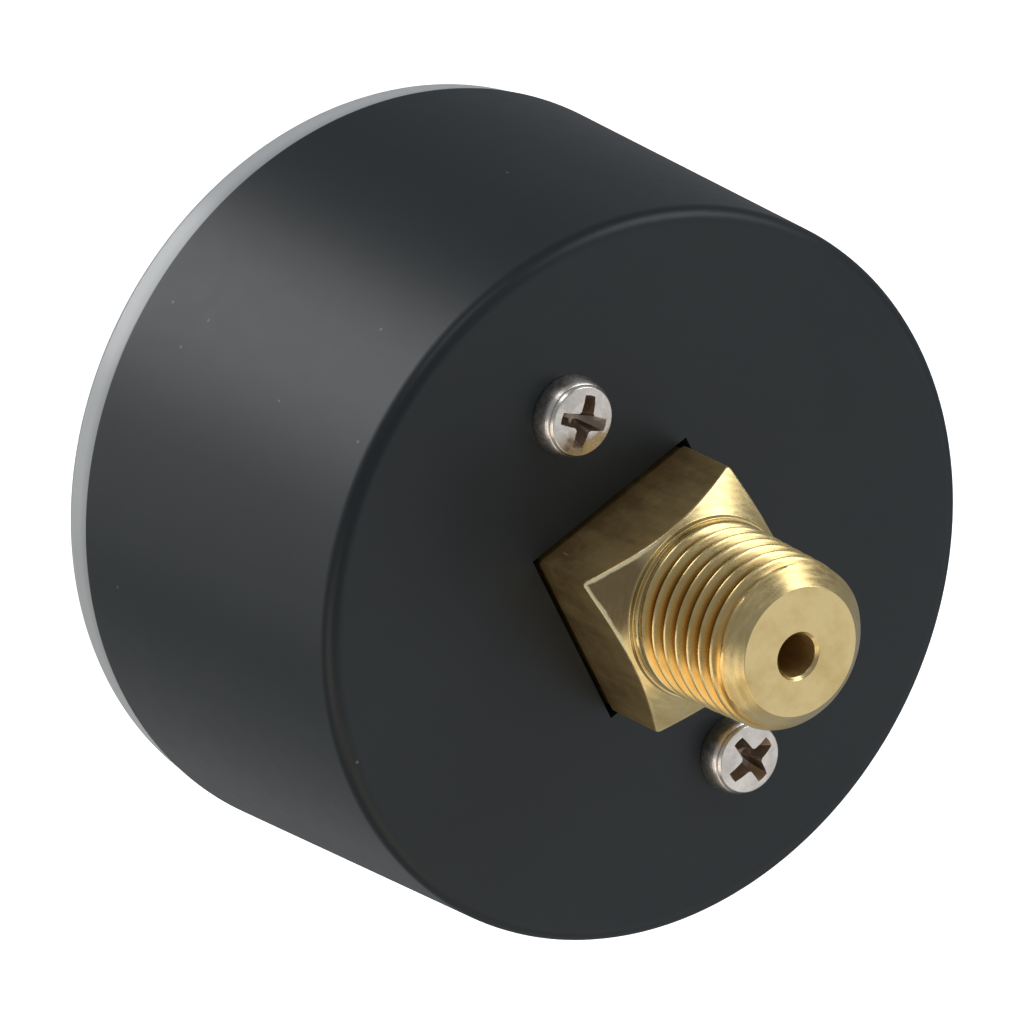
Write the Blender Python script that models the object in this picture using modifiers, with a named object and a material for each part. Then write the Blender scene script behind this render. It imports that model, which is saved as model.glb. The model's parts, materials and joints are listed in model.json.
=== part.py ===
"""Bourdon-tube pressure gauge with a threaded brass stem at the centre of its back.

Every dimension below is in millimetres and MM turns it into Blender's metres.
Shapes are laid out as seen from the front of the dial: x to the right, y up, and
"depth" along the gauge's axis from the end of the stem (0) towards the dial.
The empty gauge_axes stands that layout up, so that in the world the stem points
along +Y, the dial faces -Y and +Z is 12 o'clock.
"""
import math

import bmesh
import bpy
from mathutils import Matrix, Vector

MM = 0.001
ASSEMBLY = "pressure_gauge"

# --- Case and lens ---
CASE_BACK = 19.6            # depth of the case's rear face
CASE_FRONT = 51.4           # depth of the case's open front edge
CASE_WALL = 1.0
CASE_REAR_RADIUS = 28.5
CASE_FRONT_RADIUS = 29.5
CASE_FILLET = 1.2
LENS_RADIUS = 29.15
LENS_FRONT = 54.5
LENS_EDGE = 0.8             # size of the chamfer round its front
LENS_WINDOW = 2.0
LENS_SKIRT_RADIUS = 28.0
LENS_SKIRT_WALL = 1.2
LENS_SKIRT_END = 46.5

# --- Brass stem: 1/4-18 taper thread, wrench square, tapped bar and tube block ---
THREAD_PITCH = 25.4 / 18
THREAD_CREST_RADIUS = 6.53
THREAD_TAPER = 1 / 32
THREAD_DEPTH = 1.1
THREAD_LENGTH = 12.1
THREAD_LEAD_RADIUS = 5.0
THREAD_RELIEF_RADIUS = 5.9
BORE_RADIUS = 1.65
BORE_CENTRE = (0.3, -0.2)   # drilled a little off the stem's axis
BORE_END = 28.0
SQUARE_ACROSS = 14.8
SQUARE_SHOULDER = 19.5      # where the flats stop, against the case's back
SQUARE_NECK_ACROSS = 14.4
SQUARE_NECK_END = 22.0
SQUARE_HOLE_GAP = 0.35       # room round the square in the case's back
SQUARE_CHAMFER_ANGLE = math.radians(30)
BAR_HALF_WIDTH = 6.0
BAR_TOP = 21.5
BAR_BOTTOM = -23.5
BAR_BACK = 20.9
BAR_FRONT = 28.7
BLOCK_LEFT = -5.0
BLOCK_RIGHT = 3.5
BLOCK_TOP = -17.5
BLOCK_BOTTOM = -23.3
BLOCK_FRONT = 39.5
POCKET_FRONT_WALL = 1.6
POCKET_TOP = -18.5
FEED_X = 0.8
PASSAGE_DEPTH = 27.3
PASSAGE_RADIUS = 0.6
PLUG_RADIUS = 0.9
PLUG_LENGTH = 1.8

# --- Case screws, M3 pan head with a cross recess ---
CASE_SCREW_PLACES = {"top": 16.1, "bottom": -17.3}
CASE_SCREW_RADIUS = 1.5
CASE_SCREW_END = 25.6
CASE_SCREW_HEAD_RADIUS = 3.1
CASE_SCREW_HEAD_SIDE = 1.4
CASE_SCREW_HEAD_DOME = 1.0
CASE_SCREW_POINT = 0.3
RECESS_WIDTH = 0.9
RECESS_LENGTH = 4.2
RECESS_DEPTH = 1.5
RECESS_TURNS = {"top": math.radians(45), "bottom": math.radians(-7)}

# --- Bourdon tube ---
TUBE_RADIUS = 20.5          # centre line
TUBE_THICKNESS = 2.2
TUBE_WIDTH = 7.0
TUBE_WALL = 0.4
TUBE_MIDDLE = 34.5          # depth of its centre plane
TUBE_FREE_END = math.radians(15)
TUBE_FIXED_END = math.radians(270)
TIP_SPAN = math.radians(8)
TIP_MARGIN = 0.4
TIP_ARM_RADIUS = 1.2
TIP_PIVOT = (-8.74, 3.98)   # point that the free end swings about
LINK_TOP = (14.2, -1.6)

# --- Movement ---
SECTOR_PIVOT = (8.66, -8.66)
SECTOR_PITCH_RADIUS = 10.5
SECTOR_TEETH = 72           # on a full circle
SECTOR_FIRST_TOOTH = math.radians(82.5)
SECTOR_TOOTH_COUNT = 13
SECTOR_BACK = 33.5
SECTOR_FRONT = 34.5
SECTOR_HUB_RADIUS = 2.4
TAIL_LENGTH = 5.0
TAIL_ANGLE = math.radians(-22.5)
TAIL_HALF_WIDTH = 1.1
PINION_PITCH_RADIUS = 1.75
PINION_TEETH = 12
PINION_BACK = 32.9
PINION_FRONT = 35.1
PRESSURE_ANGLE = math.radians(20)
TOOTH_THINNING = 0.02
LINK_BACK = 34.8
LINK_FRONT = 35.6
LINK_EYE_RADIUS = 1.5
LINK_PIN_RADIUS = 0.5
PIN_HEAD_HEIGHT = 0.9
PIN_RIVET_HEIGHT = 0.8
TIP_PIN_HEAD_RADIUS = 1.1
TAIL_PIN_HEAD_RADIUS = 1.3
TAIL_PIN_RIVET_RADIUS = 0.9
TIP_ARM_BACK = 36.2
TIP_ARM_FRONT = 37.4
BACK_PLATE_BACK = 29.0
FRONT_PLATE_BACK = 41.0
PLATE_THICKNESS = 1.0
PLATE_MARGIN = 3.0
PILLARS = {"left": (-7.5, 5.5), "upper": (7.0, 8.0), "lower": (8.5, -15.5)}
PLATE_CORNERS = ((-9.5, -0.5), (8.5, -15.5), (11.5, -4.0), (7.0, 8.0), (-7.5, 5.5))
PILLAR_RADIUS = 1.5
PILLAR_FOOT_RADIUS = 0.9
PILLAR_TAPPED_RADIUS = 0.8
PILLAR_TAPPED_DEPTH = 5.0
MOVEMENT_SCREWS = {"upper": (3.8, 6.5), "lower": (-4.2, -4.0)}
MOVEMENT_SCREW_END = 25.5
MOVEMENT_SCREW_RADIUS = 1.0
MOVEMENT_SCREW_HEAD = 1.5
PLATE_SCREW_RADIUS = 0.7
PLATE_SCREW_HEAD = 1.6
SMALL_HEAD_HEIGHT = 0.8
SMALL_HEAD_CHAMFER = 0.2
SLOT_WIDTH = 0.4
SLOT_DEPTH = 0.4
SLOT_TURN = math.radians(35)
PIVOT_RADIUS = 0.6
ARBOR_RADIUS = 1.1
POINTER_SEAT_RADIUS = 0.8
ARBOR_END = 47.9
HAIRSPRING_BACK = 31.3
HAIRSPRING_FRONT = 32.2
HAIRSPRING_INNER = 1.75
HAIRSPRING_OUTER = 3.95
HAIRSPRING_TURNS = 3.5
HAIRSPRING_STRIP = 0.16
HAIRSPRING_END_ANGLE = math.radians(60)
STUD_DISTANCE = 4.7
STUD_RADIUS = 0.5

# --- Dial and pointer ---
DIAL_RADIUS = 27.2
DIAL_BACK = 43.8
DIAL_FRONT = 44.4
DIAL_CENTRE_HOLE = 2.2
DIAL_POST_OFFSET = 9.5
DIAL_POST_RADIUS = 1.8
DIAL_SCREW_HOLE = 1.0
POINTER_BACK = 46.6
POINTER_FRONT = 47.1
POINTER_LENGTH = 19.0
POINTER_TAIL = 8.0
POINTER_TIP_HALF = 0.35
POINTER_ROOT_HALF = 0.9
POINTER_TAIL_HALF = 1.3
POINTER_EYE_RADIUS = 2.75
HUB_SEAT_RADIUS = 1.3       # through the blade's hole
HUB_RIVET_RADIUS = 1.8
HUB_FLANGE_RADIUS = 2.2
POINTER_REST = math.radians(225)      # clockwise from 12 o'clock
STOP_PIN_ANGLE = math.radians(219)
STOP_PIN_DISTANCE = 15.5
STOP_PIN_RADIUS = 0.5

# --- Fits ---
GAP = 0.3                   # between pieces that rest on each other
FIT = 0.05                  # between a pin and its hole
LOOSE_HOLE = 0.4            # round the tail pin, which the link's lower eye is free on
SEGMENTS = 48

FINISHES = {
    "black_paint": ((0.028, 0.031, 0.033), 0.42, 0.0),
    "clear_plastic": ((0.80, 0.83, 0.84), 0.15, 0.0),
    "stem_brass": ((0.62, 0.45, 0.20), 0.32, 1.0),
    "movement_brass": ((0.66, 0.49, 0.22), 0.35, 1.0),
    "plated_screw": ((0.70, 0.68, 0.64), 0.25, 1.0),
    "tube_bronze": ((0.58, 0.36, 0.20), 0.38, 1.0),
    "steel": ((0.56, 0.56, 0.57), 0.35, 1.0),
    "dial_white": ((0.85, 0.85, 0.83), 0.50, 0.0),
    "pointer_black": ((0.02, 0.02, 0.02), 0.50, 0.0),
}

AXES = {
    "gauge": (0.0, 0.0),
    "pointer": (0.0, 0.0),
    "sector": SECTOR_PIVOT,
    "bourdon_tip": TIP_PIVOT,
    "link": LINK_TOP,
}


# ---------------------------------------------------------------- scene set-up

def clear_scene():
    """Remove whatever the file opened with."""
    for obj in list(bpy.data.objects):
        bpy.data.objects.remove(obj, do_unlink=True)


def new_collection(name):
    """Make a collection under the scene."""
    collection = bpy.data.collections.new(name)
    bpy.context.scene.collection.children.link(collection)
    return collection


def new_empty(name, location, parent=None):
    """Make an empty; its location is in the parent's own axes."""
    empty = bpy.data.objects.new(name, None)
    empty.empty_display_size = 5 * MM
    empty.location = location
    empty.parent = parent
    parts.objects.link(empty)
    return empty


def make_axes():
    """One empty for the gauge's layout and one on the axis of each moving body."""
    gauge = new_empty("gauge_axes", (0, 0, 0))
    gauge.rotation_euler = (math.pi / 2, 0, 0)
    empties = {"gauge": gauge}
    for body in ("pointer", "sector", "bourdon_tip"):
        x, y = AXES[body]
        empties[body] = new_empty(body + "_axis", (x * MM, y * MM, 0), gauge)
    link_x = LINK_TOP[0] - TIP_PIVOT[0]
    link_y = LINK_TOP[1] - TIP_PIVOT[1]
    empties["link"] = new_empty("link_axis", (link_x * MM, link_y * MM, 0), empties["bourdon_tip"])
    return empties


def finish_material(node, finish):
    """A Principled material of a node's own."""
    colour, roughness, metallic = FINISHES[finish]
    material = bpy.data.materials.new(node + "_" + finish)
    material.use_nodes = True
    shader = material.node_tree.nodes["Principled BSDF"]
    shader.inputs["Base Color"].default_value = (*colour, 1.0)
    shader.inputs["Roughness"].default_value = roughness
    shader.inputs["Metallic"].default_value = metallic
    material.diffuse_color = (*colour, 1.0)
    return material


def place(obj, finish, body, at, depth=0.0):
    """Put an object on its body's axis empty, at x, y and depth of the layout."""
    axis_x, axis_y = AXES[body]
    obj.parent = axes[body]
    obj.location = ((at[0] - axis_x) * MM, (at[1] - axis_y) * MM, depth * MM)
    if finish is None:
        cutters.objects.link(obj)
        obj.hide_render = True
        obj.display_type = "WIRE"
    else:
        parts.objects.link(obj)
        obj.data.materials.append(finish_material(obj.name, finish))
    return obj


# ---------------------------------------------------------------- shape makers

def turned(name, profile, finish=None, body="gauge", at=(0, 0), segments=SEGMENTS, closed=False):
    """Turn a (radius, depth) profile that runs down its outer side, top to bottom."""
    mesh = bpy.data.meshes.new(name)
    points = [(radius * MM, 0, depth * MM) for radius, depth in profile]
    edges = [(index, index + 1) for index in range(len(points) - 1)]
    if closed:
        edges.append((len(points) - 1, 0))
    mesh.from_pydata(points, edges, [])
    obj = bpy.data.objects.new(name, mesh)
    screw = obj.modifiers.new("turn", "SCREW")
    screw.axis = "Z"
    screw.steps = segments
    screw.render_steps = segments
    screw.use_merge_vertices = True
    screw.merge_threshold = 1e-6
    screw.use_smooth_shade = True
    return place(obj, finish, body, at)


def rod(radius, back, front, chamfer=0.0):
    """Profile of a plain rod between two depths."""
    if not chamfer:
        return [(0, front), (radius, front), (radius, back), (0, back)]
    inner = radius - chamfer
    return [(0, front), (inner, front), (radius, front - chamfer),
            (radius, back + chamfer), (inner, back), (0, back)]


def tube_profile(outer, inner, back, front):
    """Closed profile of a plain ring or sleeve."""
    return [(inner, front), (outer, front), (outer, back), (inner, back)]


def flat(name, outline, holes, back, front, finish=None, body="gauge"):
    """A flat piece cut to an outline, with (x, y, radius, points) round holes."""
    curve = bpy.data.curves.new(name, "CURVE")
    curve.dimensions = "2D"
    curve.fill_mode = "BOTH"
    curve.extrude = (front - back) / 2 * MM
    loops = [outline] + [circle((x, y), radius, points) for x, y, radius, points in holes]
    for loop in loops:
        spline = curve.splines.new("POLY")
        spline.points.add(len(loop) - 1)
        for point, (x, y) in zip(spline.points, loop):
            point.co = (x * MM, y * MM, 0, 1)
        spline.use_cyclic_u = True
    return place(bpy.data.objects.new(name, curve), finish, body, (0, 0), (front + back) / 2)


def box(name, low, high, turn=0.0, at=(0, 0), finish=None):
    """A box between two (x, y, depth) corners, turned about the depth axis at a point."""
    mesh = bpy.data.meshes.new(name)
    shape = bmesh.new()
    size = Vector(high) - Vector(low)
    middle = (Vector(high) + Vector(low)) / 2
    stretch = Matrix.Diagonal((*(size * MM), 1.0))
    bmesh.ops.create_cube(shape, size=1, matrix=Matrix.Translation(middle * MM) @ stretch)
    shape.to_mesh(mesh)
    shape.free()
    obj = place(bpy.data.objects.new(name, mesh), finish, "gauge", at)
    obj.rotation_euler = (0, 0, turn)
    return obj


def combine(target, tool, operation):
    """Add one exact Boolean step."""
    step = target.modifiers.new(tool.name, "BOOLEAN")
    step.operation = operation
    step.solver = "EXACT"
    step.object = tool


def as_mesh(obj):
    """Turn a curve object into a welded mesh, so that a Boolean can use it."""
    bpy.context.view_layer.update()
    depsgraph = bpy.context.evaluated_depsgraph_get()
    mesh = bpy.data.meshes.new_from_object(obj.evaluated_get(depsgraph))
    shape = bmesh.new()
    shape.from_mesh(mesh)
    bmesh.ops.remove_doubles(shape, verts=shape.verts, dist=1e-7)
    shape.to_mesh(mesh)
    shape.free()
    name = obj.name
    collection = obj.users_collection[0]
    solid = bpy.data.objects.new(name + "_solid", mesh)
    solid.parent = obj.parent
    solid.location = obj.location
    solid.hide_render = obj.hide_render
    solid.display_type = obj.display_type
    collection.objects.link(solid)
    bpy.data.objects.remove(obj, do_unlink=True)
    solid.name = name
    return solid


# ---------------------------------------------------------------- outlines

def circle(centre, radius, count):
    """Points round a circle."""
    step = 2 * math.pi / count
    return [on_circle(centre, radius, step * index) for index in range(count)]


def on_circle(centre, radius, angle):
    """Point at an angle counted anticlockwise from +x."""
    return (centre[0] + radius * math.cos(angle), centre[1] + radius * math.sin(angle))


def clock_point(distance, angle):
    """Point at an angle counted clockwise from 12 o'clock."""
    return (distance * math.sin(angle), distance * math.cos(angle))


def arc(centre, radius, start, end, count):
    """Points along an arc, both ends included."""
    return [on_circle(centre, radius, start + (end - start) * index / (count - 1))
            for index in range(count)]


def rounded_outline(corners, radius, steps=4):
    """A convex anticlockwise polygon grown outwards by a radius; two corners give a capsule."""
    outline = []
    for index, (x, y) in enumerate(corners):
        last_x, last_y = corners[index - 1]
        next_x, next_y = corners[(index + 1) % len(corners)]
        start = math.atan2(y - last_y, x - last_x) - math.pi / 2
        end = math.atan2(next_y - y, next_x - x) - math.pi / 2
        turn = (end - start) % (2 * math.pi)
        outline += arc((x, y), radius, start, start + turn, steps + 1)
    return outline


def involute(angle):
    """The involute function."""
    return math.tan(angle) - angle


def tooth(centre, pitch_radius, teeth, addendum, dedendum, middle):
    """Outline of one involute tooth, anticlockwise, about its gear's centre."""
    base = pitch_radius * math.cos(PRESSURE_ANGLE)
    root = pitch_radius - dedendum
    tip = pitch_radius + addendum
    half_pitch = math.pi / (2 * teeth) - TOOTH_THINNING / pitch_radius

    def half_angle(radius):
        slope = math.acos(min(1.0, base / radius))
        return half_pitch + involute(PRESSURE_ANGLE) - involute(slope)

    lowest = max(base, root)
    radii = [root, lowest, (lowest + 2 * pitch_radius) / 3, pitch_radius, (pitch_radius + tip) / 2, tip]
    if root >= base:
        radii.remove(lowest)
    rising = [on_circle(centre, radius, middle - half_angle(radius)) for radius in radii]
    falling = [on_circle(centre, radius, middle + half_angle(radius)) for radius in reversed(radii)]
    return rising + falling


# ---------------------------------------------------------------- case and lens

def make_case():
    """Drawn steel cup with a rounded rear edge, a little wider at its open front."""
    corner = (CASE_REAR_RADIUS - CASE_FILLET, CASE_BACK + CASE_FILLET)
    outer_fillet = arc(corner, CASE_FILLET, 0, -math.pi / 2, 5)
    inner_fillet = arc(corner, CASE_FILLET - CASE_WALL, -math.pi / 2, 0, 3)
    profile = [(0, CASE_BACK + CASE_WALL)] + inner_fillet
    profile += [(CASE_FRONT_RADIUS - CASE_WALL, CASE_FRONT), (CASE_FRONT_RADIUS, CASE_FRONT)]
    profile += outer_fillet + [(0, CASE_BACK)]
    case = turned("case_shell", profile, "black_paint", segments=64)
    half = SQUARE_ACROSS / 2 + SQUARE_HOLE_GAP
    square_hole = box("case_square_hole", (-half, -half, CASE_BACK - 1), (half, half, CASE_BACK + 3))
    combine(case, square_hole, "DIFFERENCE")
    for side, y in CASE_SCREW_PLACES.items():
        profile = rod(CASE_SCREW_RADIUS + 4 * FIT, CASE_BACK - 1, CASE_BACK + 3)
        hole = turned("case_hole_" + side, profile, at=(0, y), segments=24)
        combine(case, hole, "DIFFERENCE")


def make_lens():
    """Clear snap-in cover: a window, a rim against the case's edge and a skirt inside it."""
    rim_back = CASE_FRONT + 2 * FIT
    window_back = LENS_FRONT - LENS_WINDOW
    skirt_inner = LENS_SKIRT_RADIUS - LENS_SKIRT_WALL
    corner = (LENS_RADIUS - LENS_EDGE, LENS_FRONT - LENS_EDGE)
    profile = [(0, LENS_FRONT)] + arc(corner, LENS_EDGE, math.pi / 2, 0, 4)
    profile += [(LENS_RADIUS, rim_back), (LENS_SKIRT_RADIUS, rim_back),
                (LENS_SKIRT_RADIUS, LENS_SKIRT_END), (skirt_inner, LENS_SKIRT_END),
                (skirt_inner, window_back - LENS_EDGE), (skirt_inner - LENS_EDGE, window_back),
                (0, window_back)]
    turned("lens", profile, "clear_plastic", segments=64)


# ---------------------------------------------------------------- stem and socket

def thread_radius(depth, phase):
    """Radius of the taper thread's surface, with a chamfered lead and a relief at its root."""
    crest = THREAD_CREST_RADIUS + THREAD_TAPER * depth
    valley = min(1.0, max(0.0, (abs(2 * (phase % 1.0) - 1) - 0.08) / 0.84))
    lead = THREAD_LEAD_RADIUS + depth
    relief = THREAD_RELIEF_RADIUS + max(0.0, THREAD_LENGTH - 0.3 - depth)
    return min(crest - THREAD_DEPTH * valley, lead, relief)


def make_thread():
    """Threaded stem as a grid that follows the helix, closed at both ends."""
    around = 24
    per_pitch = 5
    turns = math.ceil((THREAD_LENGTH + 1) / THREAD_PITCH)
    shape = bmesh.new()
    grid = {}
    for row in range(-per_pitch, (turns + 1) * per_pitch + 1):
        for column in range(around):
            phase = row / per_pitch
            depth = min(max((phase + column / around) * THREAD_PITCH, 0.0), THREAD_LENGTH + 1)
            radius = thread_radius(depth, phase)
            x, y = on_circle((0, 0), radius, 2 * math.pi * column / around)
            grid[row, column] = shape.verts.new((x * MM, y * MM, depth * MM))
        grid[row - per_pitch, around] = grid[row, 0]
    for row in range(-per_pitch, turns * per_pitch):
        for column in range(around):
            corners = (grid[row, column], grid[row, column + 1],
                       grid[row + 1, column + 1], grid[row + 1, column])
            shape.faces.new(corners)
    bmesh.ops.remove_doubles(shape, verts=shape.verts, dist=1e-7)
    bmesh.ops.holes_fill(shape, edges=shape.edges)
    bmesh.ops.triangulate(shape, faces=[face for face in shape.faces if len(face.verts) == 4])
    bmesh.ops.recalc_face_normals(shape, faces=shape.faces)
    mesh = bpy.data.meshes.new("stem_thread")
    shape.to_mesh(mesh)
    shape.free()
    return place(bpy.data.objects.new("stem_thread", mesh), None, "gauge", (0, 0))


def make_socket():
    """One-piece brass socket: thread, wrench square, bar behind the movement, tube block."""
    half = SQUARE_ACROSS / 2
    low = (-half, -half, THREAD_LENGTH)
    socket = box("socket", low, (half, half, SQUARE_SHOULDER), finish="stem_brass")
    corner = half * 1.5
    cone_end = THREAD_LENGTH + (corner - half) * math.tan(SQUARE_CHAMFER_ANGLE)
    cone_top = SQUARE_SHOULDER + 1
    cone = turned("square_cone", [(0, cone_top), (corner, cone_top), (corner, cone_end),
                                  (half, THREAD_LENGTH - 0.001), (0, THREAD_LENGTH - 0.001)])
    combine(socket, cone, "INTERSECT")
    combine(socket, make_thread(), "UNION")
    half = SQUARE_NECK_ACROSS / 2
    neck = box("square_neck", (-half, -half, SQUARE_SHOULDER - 1), (half, half, SQUARE_NECK_END))
    combine(socket, neck, "UNION")
    low = (-BAR_HALF_WIDTH, BAR_BOTTOM, BAR_BACK)
    combine(socket, box("socket_bar", low, (BAR_HALF_WIDTH, BAR_TOP, BAR_FRONT)), "UNION")
    low = (BLOCK_LEFT, BLOCK_BOTTOM, BAR_FRONT - 1)
    combine(socket, box("tube_block", low, (BLOCK_RIGHT, BLOCK_TOP, BLOCK_FRONT)), "UNION")
    for cutter in socket_cutters():
        combine(socket, cutter, "DIFFERENCE")


def socket_cutters():
    """The bore, the passage to the tube, the tube's pocket and the tapped holes."""
    yield turned("bore", rod(BORE_RADIUS, -1, BORE_END), at=BORE_CENTRE, segments=24)
    passage = turned("passage", rod(PASSAGE_RADIUS, 0, -BAR_BOTTOM + 1), segments=12)
    passage.location = (0, 0, PASSAGE_DEPTH * MM)
    passage.rotation_euler = (math.pi / 2, 0, 0)
    yield passage
    plug_seat = turned("plug_seat", rod(PLUG_RADIUS + FIT, 0, PLUG_LENGTH + GAP + 1), segments=16)
    plug_seat.location = (0, (BAR_BOTTOM + PLUG_LENGTH + GAP) * MM, PASSAGE_DEPTH * MM)
    plug_seat.rotation_euler = (math.pi / 2, 0, 0)
    yield plug_seat
    pocket_depth = TUBE_WIDTH / 2 + 0.2
    tube_low = -TUBE_RADIUS - TUBE_THICKNESS / 2 - 3 * FIT
    yield box("tube_pocket", (BLOCK_LEFT - 1, tube_low, TUBE_MIDDLE - pocket_depth),
              (POCKET_FRONT_WALL, POCKET_TOP, TUBE_MIDDLE + pocket_depth))
    feed_at = (FEED_X, -TUBE_RADIUS)
    yield turned("feed", rod(PASSAGE_RADIUS, PASSAGE_DEPTH, TUBE_MIDDLE), at=feed_at, segments=12)
    for side, y in CASE_SCREW_PLACES.items():
        profile = rod(CASE_SCREW_RADIUS + FIT, BAR_BACK - 1, CASE_SCREW_END + GAP)
        yield turned("tapped_" + side, profile, at=(0, y), segments=24)
    tapped = rod(MOVEMENT_SCREW_RADIUS + 2 * FIT, MOVEMENT_SCREW_END - 2 * GAP, BAR_FRONT + 1)
    for name, at in MOVEMENT_SCREWS.items():
        yield turned("movement_tapped_" + name, tapped, at=at, segments=16)


def make_passage_plug():
    """Small plug that shuts the drilled end of the cross passage."""
    plug = turned("passage_plug", rod(PLUG_RADIUS, 0, PLUG_LENGTH), "movement_brass", segments=16)
    plug.location = (0, (BAR_BOTTOM + PLUG_LENGTH) * MM, PASSAGE_DEPTH * MM)
    plug.rotation_euler = (math.pi / 2, 0, 0)


def make_case_screws():
    """Two pan-head cross-recess screws through the case's back into the socket bar."""
    seat = CASE_BACK - 2 * FIT
    side_end = seat - CASE_SCREW_HEAD_SIDE
    dome_end = side_end - CASE_SCREW_HEAD_DOME
    for side, y in CASE_SCREW_PLACES.items():
        turn = RECESS_TURNS[side]
        dome = [(CASE_SCREW_HEAD_RADIUS * math.cos(angle), side_end - CASE_SCREW_HEAD_DOME * math.sin(angle))
                for angle in (math.pi / 2 * step / 5 for step in range(5))]
        profile = [(0, CASE_SCREW_END), (CASE_SCREW_RADIUS - CASE_SCREW_POINT, CASE_SCREW_END),
                   (CASE_SCREW_RADIUS, CASE_SCREW_END - CASE_SCREW_POINT), (CASE_SCREW_RADIUS, seat),
                   (CASE_SCREW_HEAD_RADIUS, seat)] + dome + [(0, dome_end)]
        screw = turned("case_screw_" + side, profile, "plated_screw", at=(0, y), segments=32)
        for arm, angle in (("a", turn), ("b", turn + math.pi / 2)):
            slot = box("recess_" + side + "_" + arm,
                       (-RECESS_WIDTH / 2, -RECESS_LENGTH / 2, dome_end - 1),
                       (RECESS_WIDTH / 2, RECESS_LENGTH / 2, dome_end + RECESS_DEPTH), angle, (0, y))
            combine(screw, slot, "DIFFERENCE")


# ---------------------------------------------------------------- Bourdon tube

def make_bourdon_tube():
    """Thin flattened tube bent into a C, open at both ends."""
    half_thickness = TUBE_THICKNESS / 2
    straight = TUBE_WIDTH / 2 - half_thickness
    front_bend = arc((TUBE_RADIUS, TUBE_MIDDLE + straight), half_thickness, math.pi, 0, 6)
    back_bend = arc((TUBE_RADIUS, TUBE_MIDDLE - straight), half_thickness, 0, -math.pi, 6)
    tube = turned("bourdon_tube", front_bend + back_bend, "tube_bronze", segments=40, closed=True)
    tube.modifiers["turn"].angle = TUBE_FIXED_END - TUBE_FREE_END
    tube.rotation_euler = (0, 0, TUBE_FREE_END)
    wall = tube.modifiers.new("wall", "SOLIDIFY")
    wall.thickness = TUBE_WALL * MM
    wall.offset = -1


def make_tube_tip():
    """End piece brazed on the tube's free end, with an arm for the link."""
    end = TUBE_FREE_END - math.radians(1)
    start = end - TIP_SPAN
    half = TUBE_THICKNESS / 2 + TIP_MARGIN
    outline = arc((0, 0), TUBE_RADIUS + half, start, end, 4) + arc((0, 0), TUBE_RADIUS - half, end, start, 4)
    back = TUBE_MIDDLE - TUBE_WIDTH / 2 - 0.2
    front = TUBE_MIDDLE + TUBE_WIDTH / 2 + 0.2
    tip = as_mesh(flat("tube_tip", outline, [], back, front, "movement_brass", "bourdon_tip"))
    tip.data.materials.append(finish_material("tube_tip", "movement_brass"))
    root = on_circle((0, 0), TUBE_RADIUS, (start + end) / 2)
    hole = (*LINK_TOP, LINK_PIN_RADIUS + FIT, 12)
    arm_outline = rounded_outline((LINK_TOP, root), TIP_ARM_RADIUS, 8)
    arm = as_mesh(flat("tip_arm", arm_outline, [hole], TIP_ARM_BACK, TIP_ARM_FRONT, None, "bourdon_tip"))
    combine(tip, arm, "UNION")


def make_link():
    """Flat link from the tube's tip to the sector's tail, with its two pins."""
    tail = on_circle(SECTOR_PIVOT, TAIL_LENGTH, TAIL_ANGLE)
    holes = [(*LINK_TOP, LINK_PIN_RADIUS + FIT, 12), (*tail, LINK_PIN_RADIUS + LOOSE_HOLE, 16)]
    outline = rounded_outline((tail, LINK_TOP), LINK_EYE_RADIUS, 8)
    flat("link", outline, holes, LINK_BACK, LINK_FRONT, "movement_brass", "link")
    tip_pin = pin_profile(TIP_PIN_HEAD_RADIUS, TIP_ARM_FRONT, TIP_PIN_HEAD_RADIUS, LINK_BACK)
    turned("tip_pin", tip_pin, "steel", "bourdon_tip", LINK_TOP, 16)
    tail_pin = pin_profile(TAIL_PIN_HEAD_RADIUS, LINK_FRONT, TAIL_PIN_RIVET_RADIUS, SECTOR_BACK)
    turned("tail_pin", tail_pin, "steel", "sector", tail, 16)


def pin_profile(head_radius, head_seat, rivet_radius, rivet_seat):
    """Profile of a link pin: a head in front of one piece, a riveted end behind another."""
    head_back = head_seat + GAP
    rivet_front = rivet_seat - GAP
    return [(0, head_seat + PIN_HEAD_HEIGHT), (head_radius, head_seat + PIN_HEAD_HEIGHT),
            (head_radius, head_back), (LINK_PIN_RADIUS, head_back),
            (LINK_PIN_RADIUS, rivet_front), (rivet_radius, rivet_front),
            (rivet_radius, rivet_seat - PIN_RIVET_HEIGHT), (0, rivet_seat - PIN_RIVET_HEIGHT)]


# ---------------------------------------------------------------- movement

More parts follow.
